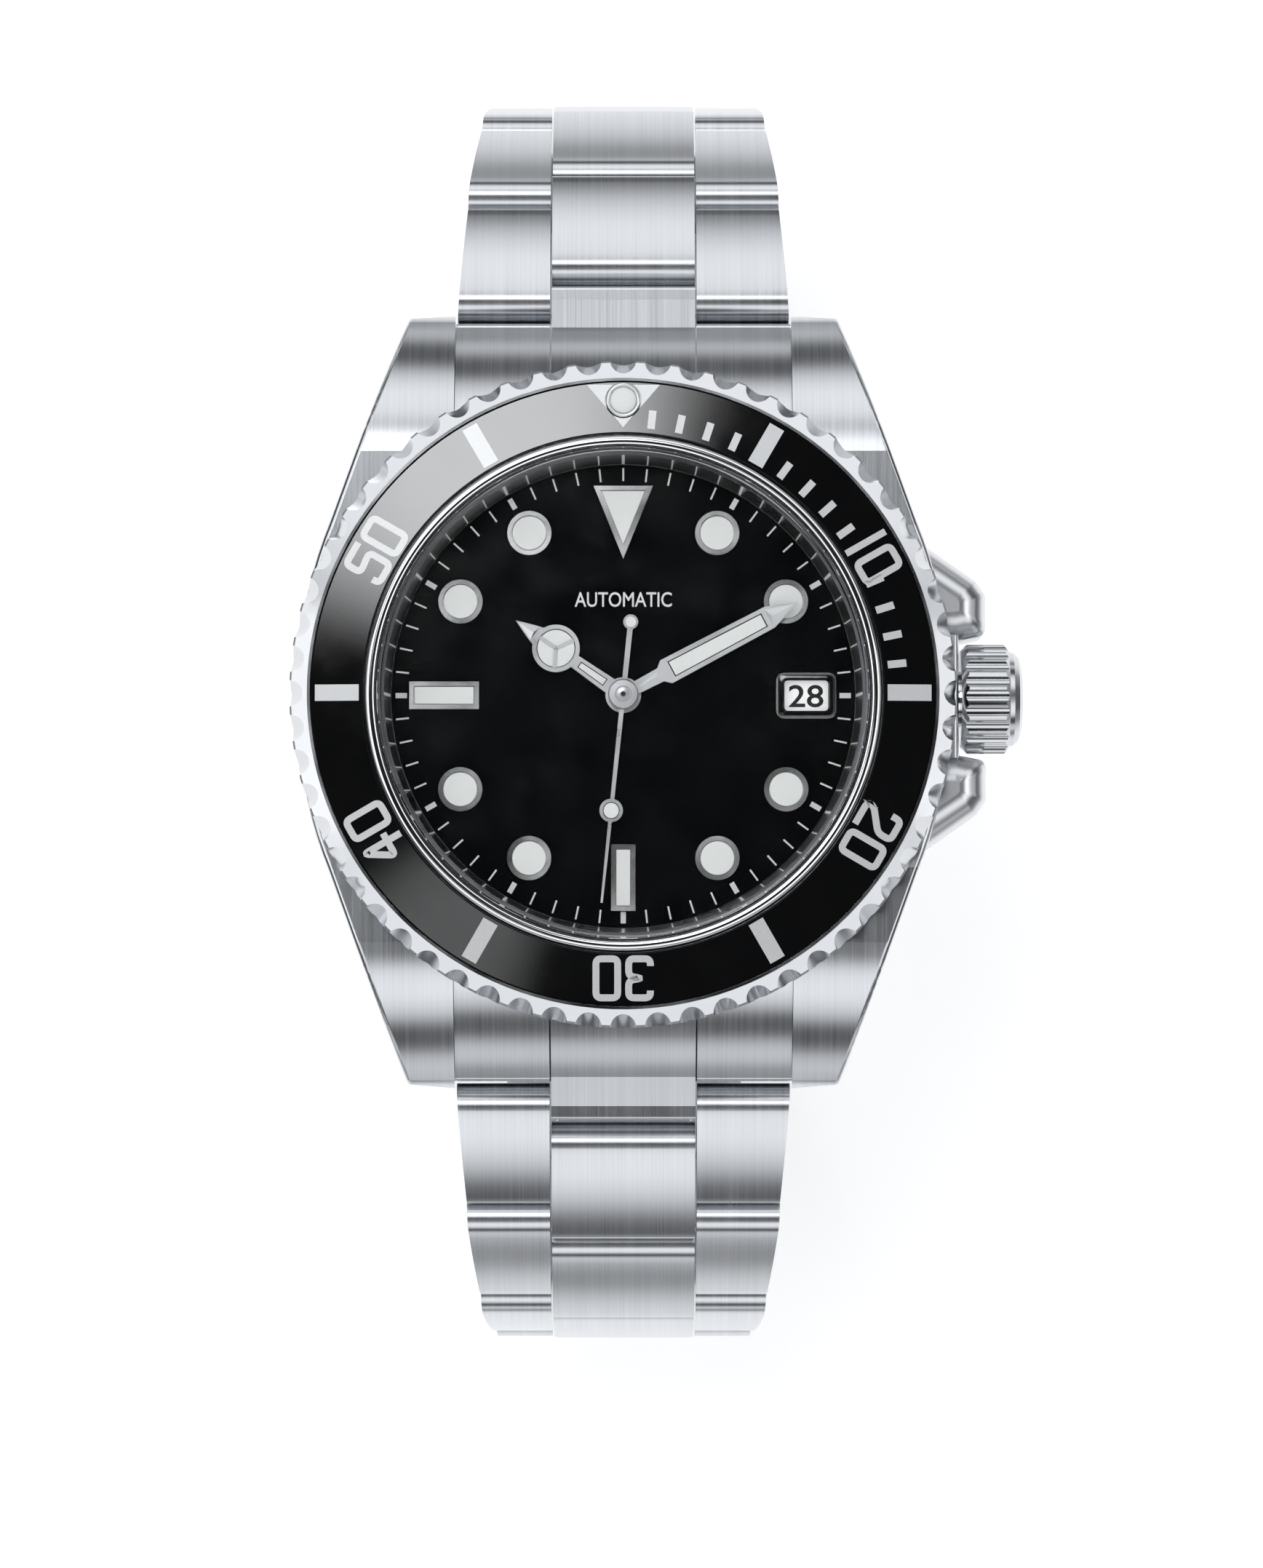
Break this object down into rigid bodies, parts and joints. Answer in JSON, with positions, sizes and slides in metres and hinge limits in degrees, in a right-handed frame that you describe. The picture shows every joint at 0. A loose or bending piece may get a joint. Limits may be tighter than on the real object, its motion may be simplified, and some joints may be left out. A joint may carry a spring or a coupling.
{
  "type": "wristwatch",
  "caption": "Automatic dive wristwatch: round steel case, turning black bezel, screw-down crown, black dial with hands and date, and a steel link bracelet with a folding clasp.",
  "frame": {"origin": "centre of the case back's outer flat face", "axes": "+Z out of the dial, +Y to 12 o'clock, +X to 3 o'clock and the crown"},
  "size_m": [0.0453, 0.0808, 0.0517],
  "materials": {
    "brushed_steel": "satin brushed stainless steel",
    "polished_steel": "polished stainless steel",
    "black_ceramic": "glossy black ceramic",
    "sapphire": "clear sapphire crystal",
    "gasket_rubber": "black rubber",
    "gloss_black_dial": "gloss black lacquer",
    "dark_reflector": "dark polished ring",
    "luminous": "luminous paint",
    "white_print": "white printed ring",
    "gilt_brass": "gilt brass",
    "plated_plate": "rhodium-plated plate",
    "blued_spring": "blued spring steel",
    "ruby": "synthetic ruby",
    "holder_plastic": "moulded spacer"
  },
  "bodies": {
    "case": {"case_middle": "brushed_steel", "case_back": "brushed_steel", "case_gaskets": "gasket_rubber", "crystal": "sapphire", "rehaut_ring": "dark_reflector", "crown_tube": "polished_steel", "bezel_spring": "polished_steel", "dial": "gloss_black_dial", "applied_indices": "polished_steel", "mainplate": "plated_plate", "train_bridge": "plated_plate", "balance_bridge": "plated_plate", "hairspring": "blued_spring", "bridge_screws": "polished_steel", "jewels": "ruby", "rotor_bearing": "polished_steel", "movement_holder": "holder_plastic", "barrel_arbor": "polished_steel", "end_link_12": "brushed_steel", "end_link_6": "brushed_steel", "lug_spring_bars": "polished_steel"},
    "bezel": {"bezel_ring": "polished_steel", "bezel_insert": "black_ceramic", "bezel_pearl": "luminous"},
    "crown_sleeve": {"crown_gasket": "gasket_rubber"},
    "crown": {"crown": "polished_steel", "winding_stem": "polished_steel"},
    "rotor": {"rotor": "plated_plate"},
    "seconds": {"fourth_wheel": "gilt_brass", "seconds_hand": "polished_steel"},
    "minutes": {"centre_wheel": "gilt_brass", "cannon_pinion": "gilt_brass", "minute_hand": "polished_steel"},
    "hours": {"hour_wheel": "gilt_brass", "hour_hand": "polished_steel"},
    "third_wheel": {"third_wheel": "gilt_brass"},
    "escape_wheel": {"escape_wheel": "gilt_brass"},
    "barrel": {"mainspring_barrel": "gilt_brass"},
    "minute_wheel": {"minute_wheel": "gilt_brass"},
    "date_ring": {"date_ring": "white_print"},
    "pallet_fork": {"pallet_fork": "polished_steel"},
    "balance": {"balance_wheel": "polished_steel"},
    "link_12_1": {"link_12_1": "brushed_steel"},
    "link_12_2": {"link_12_2": "brushed_steel"},
    "link_12_3": {"link_12_3": "brushed_steel"},
    "link_12_4": {"link_12_4": "brushed_steel"},
    "link_12_5": {"link_12_5": "brushed_steel"},
    "link_12_6": {"link_12_6": "brushed_steel"},
    "link_12_7": {"link_12_7": "brushed_steel"},
    "link_6_1": {"link_6_1": "brushed_steel"},
    "link_6_2": {"link_6_2": "brushed_steel"},
    "link_6_3": {"link_6_3": "brushed_steel"},
    "link_6_4": {"link_6_4": "brushed_steel"},
    "link_6_5": {"link_6_5": "brushed_steel"},
    "link_6_6": {"link_6_6": "brushed_steel"},
    "link_6_7": {"link_6_7": "brushed_steel"},
    "clasp_inner_blade": {"clasp_inner_blade": "brushed_steel"},
    "clasp_outer_blade": {"clasp_outer_blade": "brushed_steel"},
    "clasp_cover": {"clasp_cover": "brushed_steel"},
    "safety_catch": {"safety_catch": "brushed_steel"}
  },
  "joints": [
    {"name": "bezel_turn", "type": "hinge", "parent": "case", "child": "bezel", "pos_m": [0, 0, 0.01], "axis": [0, 0, 1], "continuous": true},
    {"name": "crown_pull", "type": "slide", "parent": "case", "child": "crown_sleeve", "axis": [1, 0, 0], "range_m": [0, 0.0016]},
    {"name": "crown_turn", "type": "hinge", "parent": "crown_sleeve", "child": "crown", "pos_m": [0.023, 0, 0.0056], "axis": [1, 0, 0], "continuous": true},
    {"name": "rotor_turn", "type": "hinge", "parent": "case", "child": "rotor", "pos_m": [0, 0, 0.002], "axis": [0, 0, 1], "continuous": true},
    {"name": "seconds_turn", "type": "hinge", "parent": "case", "child": "seconds", "pos_m": [0, 0, 0.005], "axis": [0, 0, 1], "continuous": true},
    {"name": "minutes_turn", "type": "hinge", "parent": "case", "child": "minutes", "pos_m": [0, 0, 0.005], "axis": [0, 0, 1], "continuous": true},
    {"name": "hours_turn", "type": "hinge", "parent": "case", "child": "hours", "pos_m": [0, 0, 0.008], "axis": [0, 0, 1], "continuous": true},
    {"name": "minute_wheel_turn", "type": "hinge", "parent": "case", "child": "minute_wheel", "pos_m": [0.00208, 0.0012, 0.0076], "axis": [0, 0, 1], "continuous": true},
    {"name": "third_wheel_turn", "type": "hinge", "parent": "case", "child": "third_wheel", "pos_m": [-0.00258, -0.00369, 0.004], "axis": [0, 0, 1], "continuous": true},
    {"name": "escape_wheel_turn", "type": "hinge", "parent": "case", "child": "escape_wheel", "pos_m": [0.00374, -0.001, 0.004], "axis": [0, 0, 1], "continuous": true},
    {"name": "barrel_turn", "type": "hinge", "parent": "case", "child": "barrel", "pos_m": [-0.00102, 0.00579, 0.004], "axis": [0, 0, 1], "continuous": true},
    {"name": "date_turn", "type": "hinge", "parent": "case", "child": "date_ring", "pos_m": [0, 0, 0.008], "axis": [0, 0, 1], "continuous": true},
    {"name": "pallet_swing", "type": "hinge", "parent": "case", "child": "pallet_fork", "pos_m": [0.00457, -0.00336, 0.0041], "axis": [0, 0, 1], "range_deg": [-5, 5]},
    {"name": "balance_swing", "type": "hinge", "parent": "case", "child": "balance", "pos_m": [0.00555, -0.00617, 0.0036], "axis": [0, 0, 1], "range_deg": [-270, 270]},
    {"name": "link_12_1_bend", "type": "hinge", "parent": "case", "child": "link_12_1", "pos_m": [0, 0.0253, 0.0023], "axis": [1, 0, 0], "range_deg": [0, 25]},
    {"name": "link_12_2_bend", "type": "hinge", "parent": "link_12_1", "child": "link_12_2", "pos_m": [0, 0.03235, -0.00055], "axis": [1, 0, 0], "range_deg": [0, 31]},
    {"name": "link_12_3_bend", "type": "hinge", "parent": "link_12_2", "child": "link_12_3", "pos_m": [0, 0.03723, -0.00637], "axis": [1, 0, 0], "range_deg": [0, 31]},
    {"name": "link_12_4_bend", "type": "hinge", "parent": "link_12_3", "child": "link_12_4", "pos_m": [0, 0.03881, -0.0138], "axis": [1, 0, 0], "range_deg": [0, 23]},
    {"name": "link_12_5_bend", "type": "hinge", "parent": "link_12_4", "child": "link_12_5", "pos_m": [0, 0.03775, -0.02133], "axis": [1, 0, 0], "range_deg": [0, 23]},
    {"name": "link_12_6_bend", "type": "hinge", "parent": "link_12_5", "child": "link_12_6", "pos_m": [0, 0.03419, -0.02804], "axis": [1, 0, 0], "range_deg": [0, 23]},
    {"name": "link_12_7_bend", "type": "hinge", "parent": "link_12_6", "child": "link_12_7", "pos_m": [0, 0.02854, -0.03313], "axis": [1, 0, 0], "range_deg": [0, 23]},
    {"name": "link_6_1_bend", "type": "hinge", "parent": "case", "child": "link_6_1", "pos_m": [0, -0.0253, 0.0023], "axis": [-1, 0, 0], "range_deg": [0, 25]},
    {"name": "link_6_2_bend", "type": "hinge", "parent": "link_6_1", "child": "link_6_2", "pos_m": [0, -0.03235, -0.00055], "axis": [-1, 0, 0], "range_deg": [0, 31]},
    {"name": "link_6_3_bend", "type": "hinge", "parent": "link_6_2", "child": "link_6_3", "pos_m": [0, -0.03723, -0.00637], "axis": [-1, 0, 0], "range_deg": [0, 31]},
    {"name": "link_6_4_bend", "type": "hinge", "parent": "link_6_3", "child": "link_6_4", "pos_m": [0, -0.03881, -0.0138], "axis": [-1, 0, 0], "range_deg": [0, 23]},
    {"name": "link_6_5_bend", "type": "hinge", "parent": "link_6_4", "child": "link_6_5", "pos_m": [0, -0.03775, -0.02133], "axis": [-1, 0, 0], "range_deg": [0, 23]},
    {"name": "link_6_6_bend", "type": "hinge", "parent": "link_6_5", "child": "link_6_6", "pos_m": [0, -0.03419, -0.02804], "axis": [-1, 0, 0], "range_deg": [0, 23]},
    {"name": "link_6_7_bend", "type": "hinge", "parent": "link_6_6", "child": "link_6_7", "pos_m": [0, -0.02854, -0.03313], "axis": [-1, 0, 0], "range_deg": [0, 23]},
    {"name": "clasp_bend", "type": "hinge", "parent": "link_6_7", "child": "clasp_inner_blade", "pos_m": [0, -0.02149, -0.03597], "axis": [-1, 0, 0], "range_deg": [0, 25]},
    {"name": "clasp_unfold", "type": "hinge", "parent": "clasp_inner_blade", "child": "clasp_outer_blade", "pos_m": [0, 0.015, -0.03642], "axis": [1, 0, 0], "range_deg": [0, 110]},
    {"name": "cover_lift", "type": "hinge", "parent": "clasp_outer_blade", "child": "clasp_cover", "pos_m": [0, -0.0175, -0.03702], "axis": [-1, 0, 0], "range_deg": [0, 110]},
    {"name": "catch_flip", "type": "hinge", "parent": "clasp_cover", "child": "safety_catch", "pos_m": [0, 0.0129, -0.03876], "axis": [-1, 0, 0], "range_deg": [0, 100]}
  ],
  "couplings": [
    {"joint": "minutes_turn", "follows": "seconds_turn", "ratio": 0.016667},
    {"joint": "hours_turn", "follows": "seconds_turn", "ratio": 0.0013889},
    {"joint": "minute_wheel_turn", "follows": "seconds_turn", "ratio": -0.0055556},
    {"joint": "third_wheel_turn", "follows": "seconds_turn", "ratio": -0.13333},
    {"joint": "escape_wheel_turn", "follows": "seconds_turn", "ratio": -12},
    {"joint": "barrel_turn", "follows": "seconds_turn", "ratio": -0.0027778},
    {"joint": "cover_lift", "follows": "clasp_unfold", "ratio": 1}
  ]
}
